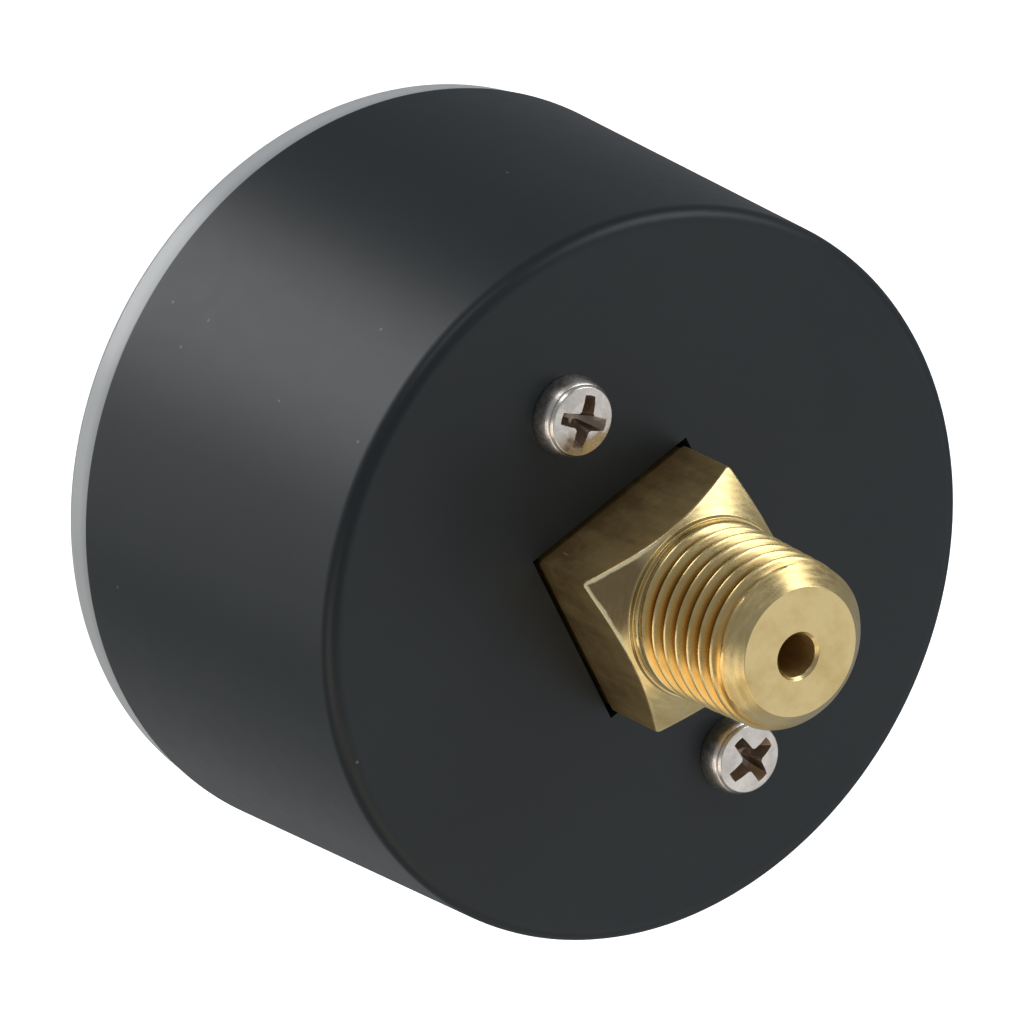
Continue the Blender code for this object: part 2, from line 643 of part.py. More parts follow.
def make_sector():
    """Toothed sector with a tail for the link, on its arbor."""
    module = 2 * SECTOR_PITCH_RADIUS / SECTOR_TEETH
    pitch_angle = 2 * math.pi / SECTOR_TEETH
    root = SECTOR_PITCH_RADIUS - 1.25 * module
    last_tooth = SECTOR_FIRST_TOOTH + (SECTOR_TOOTH_COUNT - 1) * pitch_angle
    rim_start = SECTOR_FIRST_TOOTH - pitch_angle / 2
    rim_end = last_tooth + pitch_angle / 2
    outline = [on_circle(SECTOR_PIVOT, root, rim_start)]
    for index in range(SECTOR_TOOTH_COUNT):
        middle = SECTOR_FIRST_TOOTH + index * pitch_angle
        outline += tooth(SECTOR_PIVOT, SECTOR_PITCH_RADIUS, SECTOR_TEETH, 0.7 * module, 1.25 * module, middle)
    outline.append(on_circle(SECTOR_PIVOT, root, rim_end))
    tail = on_circle(SECTOR_PIVOT, TAIL_LENGTH, TAIL_ANGLE)
    neck = math.asin(TAIL_HALF_WIDTH / SECTOR_HUB_RADIUS)
    outline += arc(SECTOR_PIVOT, SECTOR_HUB_RADIUS, math.radians(195), TAIL_ANGLE - neck + 2 * math.pi, 9)
    outline += arc(tail, TAIL_HALF_WIDTH, TAIL_ANGLE - math.pi / 2, TAIL_ANGLE + math.pi / 2, 8)
    outline += arc(SECTOR_PIVOT, SECTOR_HUB_RADIUS, TAIL_ANGLE + neck, math.radians(45), 4)
    holes = [(*SECTOR_PIVOT, ARBOR_RADIUS + FIT, 20), (*tail, LINK_PIN_RADIUS + FIT, 12)]
    flat("sector_gear", outline, holes, SECTOR_BACK, SECTOR_FRONT, "movement_brass", "sector")
    arbor = arbor_profile(FRONT_PLATE_BACK + PLATE_THICKNESS - 0.1, PIVOT_RADIUS)
    turned("sector_arbor", arbor, "steel", "sector", SECTOR_PIVOT, 20)


def arbor_profile(front_end, front_radius):
    """Profile of an arbor that runs in both plates."""
    shoulder_front = FRONT_PLATE_BACK - GAP
    shoulder_back = BACK_PLATE_BACK + PLATE_THICKNESS + GAP
    back_end = BACK_PLATE_BACK + 0.1
    return [(0, front_end), (front_radius, front_end), (front_radius, shoulder_front),
            (ARBOR_RADIUS, shoulder_front), (ARBOR_RADIUS, shoulder_back),
            (PIVOT_RADIUS, shoulder_back), (PIVOT_RADIUS, back_end), (0, back_end)]


def make_pinion():
    """Pinion cut on the arbor that carries the pointer."""
    module = 2 * PINION_PITCH_RADIUS / PINION_TEETH
    towards_sector = math.atan2(SECTOR_PIVOT[1], SECTOR_PIVOT[0])
    outline = []
    for index in range(PINION_TEETH):
        middle = towards_sector + index * 2 * math.pi / PINION_TEETH
        outline += tooth((0, 0), PINION_PITCH_RADIUS, PINION_TEETH, module, module, middle)
    pinion = as_mesh(flat("pinion_teeth", outline, [], PINION_BACK, PINION_FRONT, None, "pointer"))
    profile = arbor_profile(ARBOR_END, POINTER_SEAT_RADIUS)
    arbor = turned("pinion_arbor", profile, "steel", "pointer", (0, 0), 20)
    combine(arbor, pinion, "UNION")


def make_hairspring():
    """Flat spiral spring, the collet that holds its inner end and the stud at its outer end."""
    points_per_turn = 20
    count = int(HAIRSPRING_TURNS * points_per_turn) + 1
    start = HAIRSPRING_END_ANGLE - HAIRSPRING_TURNS * 2 * math.pi
    inside = []
    outside = []
    for index in range(count):
        share = index / (count - 1)
        radius = HAIRSPRING_INNER + (HAIRSPRING_OUTER - HAIRSPRING_INNER) * share
        angle = start + (HAIRSPRING_END_ANGLE - start) * share
        inside.append(on_circle((0, 0), radius - HAIRSPRING_STRIP / 2, angle))
        outside.append(on_circle((0, 0), radius + HAIRSPRING_STRIP / 2, angle))
    flat("hairspring", inside + outside[::-1], [], HAIRSPRING_BACK, HAIRSPRING_FRONT, "tube_bronze")
    collet = tube_profile(HAIRSPRING_INNER - 0.25, ARBOR_RADIUS + FIT, HAIRSPRING_BACK, HAIRSPRING_FRONT)
    turned("hairspring_collet", collet, "movement_brass", "pointer", (0, 0), 20, closed=True)
    stud_at = on_circle((0, 0), STUD_DISTANCE, HAIRSPRING_END_ANGLE)
    stud = rod(STUD_RADIUS, BACK_PLATE_BACK + 0.2, HAIRSPRING_FRONT + 0.2)
    turned("hairspring_stud", stud, "movement_brass", "gauge", stud_at, 12)


def make_plates():
    """Back and front plates of the movement, with their pillars and screws."""
    outline = rounded_outline(PLATE_CORNERS, PLATE_MARGIN)
    pivot = PIVOT_RADIUS + FIT
    stud_at = on_circle((0, 0), STUD_DISTANCE, HAIRSPRING_END_ANGLE)
    back_holes = [(0, 0, pivot, 16), (*SECTOR_PIVOT, pivot, 16), (*stud_at, STUD_RADIUS + FIT, 12)]
    back_holes += [(*at, PILLAR_FOOT_RADIUS + FIT, 12) for at in PILLARS.values()]
    back_holes += [(*at, MOVEMENT_SCREW_RADIUS + 2 * FIT, 12) for at in MOVEMENT_SCREWS.values()]
    back_front = BACK_PLATE_BACK + PLATE_THICKNESS
    flat("movement_back_plate", outline, back_holes, BACK_PLATE_BACK, back_front, "movement_brass")
    front_holes = [(0, 0, POINTER_SEAT_RADIUS + 2 * FIT, 16), (*SECTOR_PIVOT, pivot, 16)]
    front_holes += [(*at, PLATE_SCREW_RADIUS + 4 * FIT, 12) for at in PILLARS.values()]
    front_holes += [(side * DIAL_POST_OFFSET, 0, PLATE_SCREW_RADIUS + 2 * FIT, 12) for side in (-1, 1)]
    front_front = FRONT_PLATE_BACK + PLATE_THICKNESS
    flat("movement_front_plate", outline, front_holes, FRONT_PLATE_BACK, front_front, "movement_brass")
    top = FRONT_PLATE_BACK - GAP
    tapped_end = top - PILLAR_TAPPED_DEPTH
    foot_end = BACK_PLATE_BACK + 2 * FIT
    pillar = [(0, tapped_end), (PILLAR_TAPPED_RADIUS, tapped_end), (PILLAR_TAPPED_RADIUS, top),
              (PILLAR_RADIUS, top), (PILLAR_RADIUS, back_front + GAP),
              (PILLAR_FOOT_RADIUS, back_front + GAP), (PILLAR_FOOT_RADIUS, foot_end), (0, foot_end)]
    for name, at in PILLARS.items():
        turned("pillar_" + name, pillar, "movement_brass", at=at, segments=16)
        small_screw("plate_screw_" + name, at, front_front, tapped_end + 0.5,
                    PLATE_SCREW_HEAD, PLATE_SCREW_RADIUS)
    for name, at in MOVEMENT_SCREWS.items():
        small_screw("movement_screw_" + name, at, back_front, MOVEMENT_SCREW_END,
                    MOVEMENT_SCREW_HEAD, MOVEMENT_SCREW_RADIUS)


def small_screw(name, at, clamped, end, head_radius, shank_radius):
    """Slotted cheese-head screw on the front of a clamped piece, pointing away from the dial."""
    seat = clamped + 2 * FIT
    top = seat + SMALL_HEAD_HEIGHT
    profile = [(0, top), (head_radius - SMALL_HEAD_CHAMFER, top), (head_radius, top - SMALL_HEAD_CHAMFER),
               (head_radius, seat), (shank_radius, seat), (shank_radius, end), (0, end)]
    screw = turned(name, profile, "steel", at=at, segments=16)
    reach = head_radius + 1
    slot = box(name + "_slot", (-SLOT_WIDTH / 2, -reach, top - SLOT_DEPTH), (SLOT_WIDTH / 2, reach, top + 1),
               SLOT_TURN, at)
    combine(screw, slot, "DIFFERENCE")


# ---------------------------------------------------------------- dial and pointer

def make_dial():
    """Dial disc on two posts, its screws and the pointer's stop pin."""
    stop_at = clock_point(STOP_PIN_DISTANCE, STOP_PIN_ANGLE)
    holes = [(side * DIAL_POST_OFFSET, 0, DIAL_SCREW_HOLE, 12) for side in (-1, 1)]
    holes += [(0, 0, DIAL_CENTRE_HOLE, 16), (*stop_at, STOP_PIN_RADIUS + FIT, 12)]
    flat("dial_plate", circle((0, 0), DIAL_RADIUS, 64), holes, DIAL_BACK, DIAL_FRONT, "dial_white")
    stop_pin = rod(STOP_PIN_RADIUS, DIAL_BACK - 0.4, POINTER_FRONT + 0.4)
    turned("stop_pin", stop_pin, "steel", "gauge", stop_at, 12)
    plate_front = FRONT_PLATE_BACK + PLATE_THICKNESS
    for name, side in (("left", -1), ("right", 1)):
        at = (side * DIAL_POST_OFFSET, 0)
        bore = PLATE_SCREW_RADIUS + 4 * FIT
        post = tube_profile(DIAL_POST_RADIUS, bore, plate_front + GAP, DIAL_BACK - GAP)
        turned("dial_post_" + name, post, "movement_brass", "gauge", at, 16, closed=True)
        small_screw("dial_screw_" + name, at, DIAL_FRONT, FRONT_PLATE_BACK + 0.2,
                    PLATE_SCREW_HEAD, PLATE_SCREW_RADIUS)


def make_pointer():
    """Pointer blade riveted on a brass hub, which is pressed on the pinion's arbor."""
    root_y = math.sqrt(POINTER_EYE_RADIUS ** 2 - POINTER_ROOT_HALF ** 2)
    blade = [(-POINTER_TIP_HALF, POINTER_LENGTH), (POINTER_TIP_HALF, POINTER_LENGTH)]
    blade.append((POINTER_ROOT_HALF, root_y))
    blade += arc((0, 0), POINTER_EYE_RADIUS, math.radians(45), math.radians(-45), 6)
    blade += [(POINTER_ROOT_HALF, -root_y), (POINTER_TAIL_HALF, -POINTER_TAIL)]
    blade += [(-POINTER_TAIL_HALF, -POINTER_TAIL), (-POINTER_ROOT_HALF, -root_y)]
    blade += arc((0, 0), POINTER_EYE_RADIUS, math.radians(225), math.radians(135), 6)
    blade.append((-POINTER_ROOT_HALF, root_y))
    cos_rest = math.cos(POINTER_REST)
    sin_rest = math.sin(POINTER_REST)
    turned_blade = [(x * cos_rest + y * sin_rest, y * cos_rest - x * sin_rest) for x, y in blade]
    hole = (0, 0, HUB_SEAT_RADIUS + 2 * FIT, 16)
    flat("pointer", turned_blade, [hole], POINTER_BACK, POINTER_FRONT, "pointer_black", "pointer")
    bore = POINTER_SEAT_RADIUS + FIT
    rivet_back = POINTER_FRONT + 2 * FIT
    rivet_front = rivet_back + 0.4
    flange_front = POINTER_BACK - 2 * FIT
    flange_back = DIAL_FRONT + 1.2
    hub = [(bore, rivet_front), (HUB_RIVET_RADIUS, rivet_front), (HUB_RIVET_RADIUS, rivet_back),
           (HUB_SEAT_RADIUS, rivet_back), (HUB_SEAT_RADIUS, flange_front),
           (HUB_FLANGE_RADIUS, flange_front), (HUB_FLANGE_RADIUS, flange_back), (bore, flange_back)]
    turned("pointer_hub", hub, "movement_brass", "pointer", (0, 0), 20, closed=True)


clear_scene()
parts = new_collection(ASSEMBLY)
cutters = new_collection("cutters")
axes = make_axes()
make_case()
make_lens()
make_socket()
make_passage_plug()
make_case_screws()
make_bourdon_tube()
make_tube_tip()
make_link()
make_sector()
make_pinion()
make_hairspring()
make_plates()
make_dial()
make_pointer()
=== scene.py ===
"""Looks of the pressure gauge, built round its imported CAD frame.

Lengths are in millimetres unless a name says otherwise, and MM makes them metres. A place is
given as seen from the front of the dial: x to the right, y up, and depth along the gauge's
axis from the end of the stem towards the dial. world() turns that into the frame's axes.
"""

import json
import math

import bmesh
import bpy
from mathutils import Matrix, Vector

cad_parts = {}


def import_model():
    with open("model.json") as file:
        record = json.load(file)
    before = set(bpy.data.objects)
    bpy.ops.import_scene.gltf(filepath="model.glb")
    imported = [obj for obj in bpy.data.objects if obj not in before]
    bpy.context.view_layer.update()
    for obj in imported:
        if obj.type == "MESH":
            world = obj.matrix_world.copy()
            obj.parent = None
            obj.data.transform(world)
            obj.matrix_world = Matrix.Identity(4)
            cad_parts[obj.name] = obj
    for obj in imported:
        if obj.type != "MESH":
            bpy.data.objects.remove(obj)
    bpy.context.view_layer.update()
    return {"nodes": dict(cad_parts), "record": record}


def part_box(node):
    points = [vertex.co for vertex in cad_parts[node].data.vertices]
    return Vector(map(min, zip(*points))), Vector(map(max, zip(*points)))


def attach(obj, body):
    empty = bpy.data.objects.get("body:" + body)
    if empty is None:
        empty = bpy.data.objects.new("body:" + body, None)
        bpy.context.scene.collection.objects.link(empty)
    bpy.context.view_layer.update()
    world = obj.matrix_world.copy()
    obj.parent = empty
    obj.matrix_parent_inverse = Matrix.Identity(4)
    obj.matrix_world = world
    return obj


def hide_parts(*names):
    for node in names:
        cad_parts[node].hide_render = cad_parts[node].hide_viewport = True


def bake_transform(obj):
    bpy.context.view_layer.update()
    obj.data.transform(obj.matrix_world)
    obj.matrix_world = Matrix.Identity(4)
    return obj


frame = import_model()

MM = 0.001
ROOT = "gauge_body"


def node_box(node):
    """Lowest and highest corners of a node, in millimetres."""
    low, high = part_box(node)
    return [value / MM for value in low], [value / MM for value in high]


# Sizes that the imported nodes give
case_low, case_high = node_box("case_shell")
lens_low, lens_high = node_box("lens")
CASE_BACK = -case_high[1]
CASE_FRONT = -case_low[1]
CASE_FRONT_RADIUS = case_high[0]
LENS_FRONT = -lens_low[1]
LENS_SKIRT_END = -lens_high[1]
LENS_RADIUS = lens_high[0]
DIAL_FRONT = -node_box("dial_plate")[0][1]

# Case
CASE_WALL = 1.0
CASE_REAR_RADIUS = 28.5
CASE_FILLET = 1.15
CASE_SCREW_HOLE = 1.7

# Cover
LENS_WINDOW = 2.0
LENS_SKIRT_RADIUS = 28.0
LENS_INNER_RADIUS = 26.8
LENS_RIM_START = 27.0

# Stem
THREAD_PITCH = 25.4 / 18
THREAD_CREST_RADIUS = 6.53
THREAD_TAPER = 1 / 32
THREAD_DEPTH = 1.05
THREAD_CREST_FLAT = 0.10
THREAD_FLANKS = 0.82
THREAD_START = 0.8
THREAD_END = 11.45
THREAD_LEAD_RADIUS = 5.0
RING_RADIUS = 7.05
CONE_START = 11.9
CONE_SLOPE = math.tan(math.radians(30))
SQUARE_HALF = 7.4
SQUARE_SHOULDER = 19.5
SQUARE_NECK_HALF = 7.2
SQUARE_CORNER_RADIUS = 0.35
SQUARE_HOLE_GAP = 0.35
SQUARE_HOLE_HALF = SQUARE_HALF + SQUARE_HOLE_GAP
STEM_INNER_END = 22.0
BORE_RADIUS = 1.65
BORE_CENTRE = (0.3, -0.2)
BORE_END = 28.0
BORE_CENTRED = 1.2  # rings this close to the bore share its centre

# Painted light on the stem, by depth and by distance from the axis: flank reflection, shade, edge
# highlight
THREAD_SHADE_RADIUS = 6.50
THREAD_SHADE_START = (0.9, 1.6)
THREAD_SHADE_END = (10.9, 11.3)
FLANK_BELOW_CREST = (0.06, 0.28)
VALLEY_BELOW_CREST = (0.38, 0.72)
BORE_SHADE_RADIUS = (2.00, 2.05)
BORE_SHADE_START = (0.2, 0.6)
CORNER_SHADE = (2.2, 3.6)
WORN_HIGHLIT_EDGE = (7.22, 7.34)
EDGE_HIGHLIGHT_SIDE = (7.6, 10.0)
SQUARE_SHADE = (12.5, 19.2)

# Bar behind the movement, and the block that holds the tube
BAR_BACK = 22.1
BAR_FRONT = 28.7
BAR = ((-6.0, -23.5, BAR_BACK), (6.0, 21.5, BAR_FRONT))
TUBE_BLOCK = ((-5.0, -23.3, BAR_FRONT - 1), (3.5, -17.5, 39.5))
TUBE_POCKET = ((-6.0, -21.75, 30.8), (1.6, -18.5, 38.2))

# Case screws: height on the back, and turn of the cross
SCREWS = {"top": (16.1, math.radians(45)), "bottom": (-17.3, math.radians(-7))}
SCREW_SINK = 0.02
SCREW_SHANK = [(0.0, 25.6), (1.2, 25.6), (1.5, 25.3)]
SCREW_SHANK_RADIUS = 1.5
SCREW_HEAD_RADIUS = 3.10
SCREW_SIDE_CENTRE = (2.60, 0.25)
SCREW_SIDE_RADII = (0.52, 1.40)
SCREW_CROWN = [(2.70, 1.62, 0.03), (2.78, 1.74, 0.06), (2.62, 1.98, 0.12), (1.5, 2.27, 0.8),
               (0.0, 2.38)]
SCREW_BEVEL = 0.09
CROSS_ARM = 2.12
CROSS_HALF_WIDTH = 0.56
CROSS_INNER_CORNER = 0.18

# Bourdon tube: an oval section swept about the gauge's axis
TUBE_CENTRE = (20.5, 34.5)
TUBE_HALF_STRAIGHT = 2.4
TUBE_ROUND = 1.1
TUBE_WALL = 0.4
TUBE_START = math.radians(15)
TUBE_TURN = math.radians(255)

# Dial print: a tick's inner radius and width by how many divisions it marks
SCALE_START = math.radians(225)
SCALE_SWEEP = math.radians(270)
SCALE_DIVISIONS = 50
SCALE_TICKS = {10: (17.6, 0.55), 5: (18.6, 0.40), 1: (19.9, 0.24)}
TICK_OUTER_RADIUS = 21.8
SCALE_ARC = (21.9, 22.25)
NUMBER_RADIUS = 14.3
NUMBER_SIZE = 3.6
NUMBER_STEP = 2
NUMBER_COUNT = 6
PRINT_SURFACE = DIAL_FRONT + 0.012
PRINT_THICKNESS = 0.02

# Camera, placed from the middle of the case's back, in metres
CAMERA_PLACE = Vector((0.36331, 0.86463, 0.60710))
CAMERA_RIGHT = Vector((-0.7358, 0.5624, -0.3774))
CAMERA_UP = Vector((-0.5962, -0.2737, 0.7547))
CAMERA_BACK = Vector((0.3212, 0.7803, 0.5367))
CAMERA_LENS = 527.3
CAMERA_SENSOR = 36.0
CAMERA_FAR = 20.0

# Lights: direction from the gauge, distance and size in metres, watts and colour
WHITE = (1.0, 1.0, 1.0)
LIGHT_TARGET = Vector((0, -0.03, 0))
LIGHTS = [
    ("front_box", (0.15, -0.78, 0.60), 0.9, (0.50, 0.50), 2.8, WHITE),
    ("side_box", (-0.80, 0.50, 0.30), 0.9, (0.45, 0.60), 2.4, WHITE),
    ("low_box", (-0.32, 0.78, -0.54), 0.5, (0.60, 0.60), 0.55, WHITE),
    ("fill_box", (0.55, -0.78, 0.27), 0.9, (0.60, 0.60), 0.80, WHITE),
    ("low_fill_box", (0.36, -0.78, -0.50), 0.9, (0.60, 0.60), 0.32, WHITE),
    ("warm_box", (0.58, 0.62, -0.54), 0.6, (0.40, 0.40), 0.45, (1.0, 0.86, 0.62)),
    ("under_box", (0.10, 0.25, -0.96), 0.37, (0.40, 0.40), 0.06, WHITE),
    ("top_box", (-0.05, 0.25, 0.96), 0.9, (0.30, 0.30), 0.78, WHITE),
    ("left_box", (0.93, 0.30, 0.06), 0.7, (0.44, 0.44), 0.75, (1.0, 0.92, 0.80)),
]
FLOOR_HALF = 6.0
FLOOR_HEIGHT = -0.40
FLOOR_GLOW = 0.90
SKY = (0.92, 0.96, 1.0, 1.0)
SKY_STRENGTH = 0.27


# ---------------------------------------------------------------- places and meshes

def world(x, y, depth):
    """Front-view millimetres to the frame's metres."""
    return Vector((x * MM, -depth * MM, y * MM))


def add_piece(name, mesh, body, material, replaces=(), sharp=35):
    """Put a mesh in the scene as a piece that rides on a body."""
    piece = bpy.data.objects.new(name, mesh)
    bpy.context.scene.collection.objects.link(piece)
    mesh.materials.clear()
    mesh.materials.append(material)
    mesh.shade_smooth()
    mesh.set_sharp_from_angle(angle=math.radians(sharp))
    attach(piece, body)
    if replaces:
        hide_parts(*replaces)
    return piece


def mesh_from(name, shape):
    """Weld a bmesh, turn its faces outwards and make a mesh of it."""
    bmesh.ops.remove_doubles(shape, verts=shape.verts, dist=2e-7)
    bmesh.ops.recalc_face_normals(shape, faces=shape.faces)
    mesh = bpy.data.meshes.new(name)
    shape.to_mesh(mesh)
    shape.free()
    return mesh


def lathe(name, profile, centre=(0, 0), segments=96, closed=False, turn=2 * math.pi, start=0.0):
    """Revolve a (radius, depth) profile about the gauge's axis, or an axis beside it."""
    shape = bmesh.new()
    whole = abs(turn - 2 * math.pi) < 1e-9
    columns = segments if whole else segments + 1
    grid = []
    for radius, depth in profile:
        row = []
        for column in range(columns):
            angle = start + turn * column / segments
            row.append(shape.verts.new(world(centre[0] + radius * math.cos(angle),
                                             centre[1] + radius * math.sin(angle), depth)))
        grid.append(row)
    join_rows(shape, grid, closed, whole)
    return mesh_from(name, shape)


def join_rows(shape, grid, closed_rows, closed_columns):
    """Fill a grid of vertices with quads, leaving out those that have no area."""
    rows = len(grid)
    columns = len(grid[0])
    for row in range(rows if closed_rows else rows - 1):
        below = grid[(row + 1) % rows]
        for column in range(columns if closed_columns else columns - 1):
            right = (column + 1) % columns
            add_face(shape, (grid[row][column], grid[row][right], below[right], below[column]))


def add_face(shape, corners):
    """Add a face through corners at different places."""
    kept = []
    for vert in corners:
        if all((vert.co - other.co).length > 1e-8 for other in kept):
            kept.append(vert)
    if len(kept) > 2:
        shape.faces.new(kept)


def rounded(points, radius, steps=5, closed=False):
    """Round the corners of a profile; a point's third value is its own radius."""
    result = []
    count = len(points)
    for index, point in enumerate(points):
        here = Vector(point[:2])
        own = point[2] if len(point) > 2 else radius
        if not closed and index in (0, count - 1) or own == 0:
            result.append(tuple(here))
            continue
        before = Vector(points[index - 1][:2]) - here
        after = Vector(points[(index + 1) % count][:2]) - here
        half = before.angle(after) / 2
        reach = min(own / math.tan(half), before.length * 0.49, after.length * 0.49)
        own = reach * math.tan(half)
        start = here + before.normalized() * reach
        end = here + after.normalized() * reach
        margin = min(0.12, own * 0.5)
        if before.length * 0.49 > reach + margin:
            result.append(tuple(here + before.normalized() * (reach + margin)))
        inward = (before.normalized() + after.normalized()).normalized()
        middle = here + inward * (own / math.sin(half))
        first = start - middle
        sweep = first.angle_signed(end - middle) if own > 1e-9 else 0.0
        for step in range(steps + 1):
            spin = Matrix.Rotation(-sweep * step / steps, 2)
            result.append(tuple(middle + spin @ first))
        if after.length * 0.49 > reach + margin:
            result.append(tuple(here + after.normalized() * (reach + margin)))
    return result


# ---------------------------------------------------------------- materials

class Nodes:
    """Short hand for building a node tree."""

    def __init__(self, name):
        self.material = bpy.data.materials.new(name)
        self.material.use_nodes = True
        self.tree = self.material.node_tree
        self.shader = self.tree.nodes["Principled BSDF"]
        self.output = self.tree.nodes["Material Output"]
        self.coordinates = self.tree.nodes.new("ShaderNodeTexCoord").outputs["Object"]

    def node(self, kind, **inputs):
        """Add a node and set or link its inputs by name."""
        node = self.tree.nodes.new(kind)
        for key, value in inputs.items():
            self.put(node.inputs[key.replace("_", " ")], value)
        return node

    def put(self, socket, value):
        """Link a socket to an output, or set its value."""
        if isinstance(value, bpy.types.NodeSocket):
            self.tree.links.new(value, socket)
        else:
            socket.default_value = value

    def stretched(self, x, y, z):
        """Object coordinates scaled along each axis."""
        node = self.node("ShaderNodeMapping", Vector=self.coordinates)
        node.inputs["Scale"].default_value = (x, y, z)
        return node.outputs["Vector"]

    def noise(self, scale, detail=4.0, rough=0.5, vector=None):
        """Noise of about `scale` features a metre."""
        node = self.node("ShaderNodeTexNoise", Vector=vector or self.coordinates, Scale=scale,
                         Detail=detail, Roughness=rough)
        return node.outputs["Fac"]

    def ramp(self, value, low, high, to_low=0.0, to_high=1.0):
        """Map a range of values to another, clamped."""
        node = self.node("ShaderNodeMapRange", Value=value)
        node.inputs["From Min"].default_value = low
        node.inputs["From Max"].default_value = high
        node.inputs["To Min"].default_value = to_low
        node.inputs["To Max"].default_value = to_high
        return node.outputs["Result"]

    def axis(self, letter):
        """One of the object coordinates, in metres."""
        return self.node("ShaderNodeSeparateXYZ", Vector=self.coordinates).outputs[letter]

    def depth_ramp(self, low, high):
        """Rise from 0 to 1 between two depths."""
        return self.ramp(self.axis("Y"), -low * MM, -high * MM)

    def size_ramp(self, value, low, high, to_low=0.0, to_high=1.0):
        """Ramp between two sizes in millimetres."""
        return self.ramp(value, low * MM, high * MM, to_low, to_high)

    def math(self, operation, first, second=0.0):
        """One math node."""
        node = self.tree.nodes.new("ShaderNodeMath")
        node.operation = operation
        self.put(node.inputs[0], first)
        self.put(node.inputs[1], second)
        return node.outputs[0]

    def mix(self, factor, first, second):
        """Mix two colours."""
        node = self.tree.nodes.new("ShaderNodeMix")
        node.data_type = "RGBA"
        self.put(node.inputs[0], factor)
        self.put(node.inputs[6], first)
        self.put(node.inputs[7], second)
        return node.outputs[2]

    def bump(self, height, strength, distance, normal=None):
        """Bump of a height in metres times a distance."""
        node = self.node("ShaderNodeBump", Height=height, Strength=strength, Distance=distance)
        if normal is not None:
            self.put(node.inputs["Normal"], normal)
        return node.outputs["Normal"]

    def set(self, **inputs):
        """Set or link the Principled shader's inputs."""
        for key, value in inputs.items():
            self.put(self.shader.inputs[key.replace("_", " ")], value)


def rgb(red, green, blue):
    """Linear colour."""
    return (red, green, blue, 1.0)


def black_paint():
    """Satin black enamel: orange peel, faint blotches and a few specks of dust."""
    n = Nodes("black_paint")
    blotch = n.ramp(n.noise(90, 3), 0.35, 0.65)
    colour = n.mix(blotch, rgb(0.0080, 0.0128, 0.0162), rgb(0.0100, 0.0148, 0.0182))
    cells = n.node("ShaderNodeTexVoronoi", Vector=n.coordinates, Scale=400.0)
    chosen = n.node("ShaderNodeSeparateColor", Color=cells.outputs["Color"])
    near = n.math("LESS_THAN", cells.outputs["Distance"], 0.055)
    rare = n.math("GREATER_THAN", chosen.outputs[0], 0.94)
    speck = n.math("MULTIPLY", near, rare)
    colour = n.mix(speck, colour, rgb(0.10, 0.11, 0.11))
    peel = n.bump(n.noise(1500, 2), 0.03, 0.00005)
    peel = n.bump(n.noise(9000, 2), 0.06, 0.00001, peel)
    n.set(Base_Color=colour, Roughness=n.ramp(n.noise(700, 4), 0.3, 0.7, 0.42, 0.445), Normal=peel)
    n.set(Metallic=0.0, IOR=1.45)
    return n.material


def brass(name, clean, stained, stain_low, stain_high, lines, line_bump):
    """Machined brass: stains, fine scratches along one direction and small pits."""
    n = Nodes(name)
    blotch = n.noise(260, 6, 0.62)
    fine = n.noise(1900, 4, 0.6)
    stain = n.ramp(n.math("ADD", n.math("MULTIPLY", blotch, 0.7), n.math("MULTIPLY", fine, 0.3)),
                   stain_low, stain_high)
    colour = n.mix(stain, rgb(*clean), rgb(*stained))
    grain = n.noise(1.0, 3, 0.6, n.stretched(*lines))
    rough = n.ramp(grain, 0.3, 0.7, 0.24, 0.375)
    rough = n.math("ADD", rough, n.math("MULTIPLY", stain, 0.10))
    normal = n.bump(grain, line_bump, 0.00001)
    normal = n.bump(n.noise(3500, 3), 0.06, 0.00002, normal)
    n.set(Base_Color=colour, Metallic=1.0, Roughness=rough, Normal=normal)
    return n.material


def square_brass():
    """Wrench square: sawn bar with a brown skin and pale scratches, and painted shade darkening it
    towards the case.
    """
    n = Nodes("square_brass")
    blotch = n.noise(240, 6, 0.65)
    streaks = n.noise(1.0, 4, 0.6, n.stretched(900, 160, 900))
    skin_and_painted_shade = n.math("ADD", n.math("MULTIPLY", blotch, 0.6), n.math("MULTIPLY", streaks, 0.4))
    # Painted shade: the brown skin is darkened towards the case, where the square goes into it.
    painted_shade_to_case = n.depth_ramp(*SQUARE_SHADE)
    skin_and_painted_shade = n.ramp(n.math("ADD", skin_and_painted_shade, n.math("MULTIPLY", painted_shade_to_case, 0.22)), 0.42, 0.74)
    colour = n.mix(skin_and_painted_shade, rgb(0.86, 0.63, 0.28), rgb(0.36, 0.235, 0.095))
    fine = n.noise(1.0, 2, 0.5, n.stretched(2600, 420, 5200))
    scratch = n.ramp(fine, 0.735, 0.76)
    colour = n.mix(scratch, colour, rgb(0.80, 0.74, 0.60))
    rough = n.ramp(blotch, 0.35, 0.65, 0.30, 0.44)
    normal = n.bump(streaks, 0.25, 0.00003)
    normal = n.bump(n.noise(3200, 3), 0.10, 0.00002, normal)
    n.set(Base_Color=colour, Metallic=0.78, Roughness=rough, Normal=normal)
    return n.material


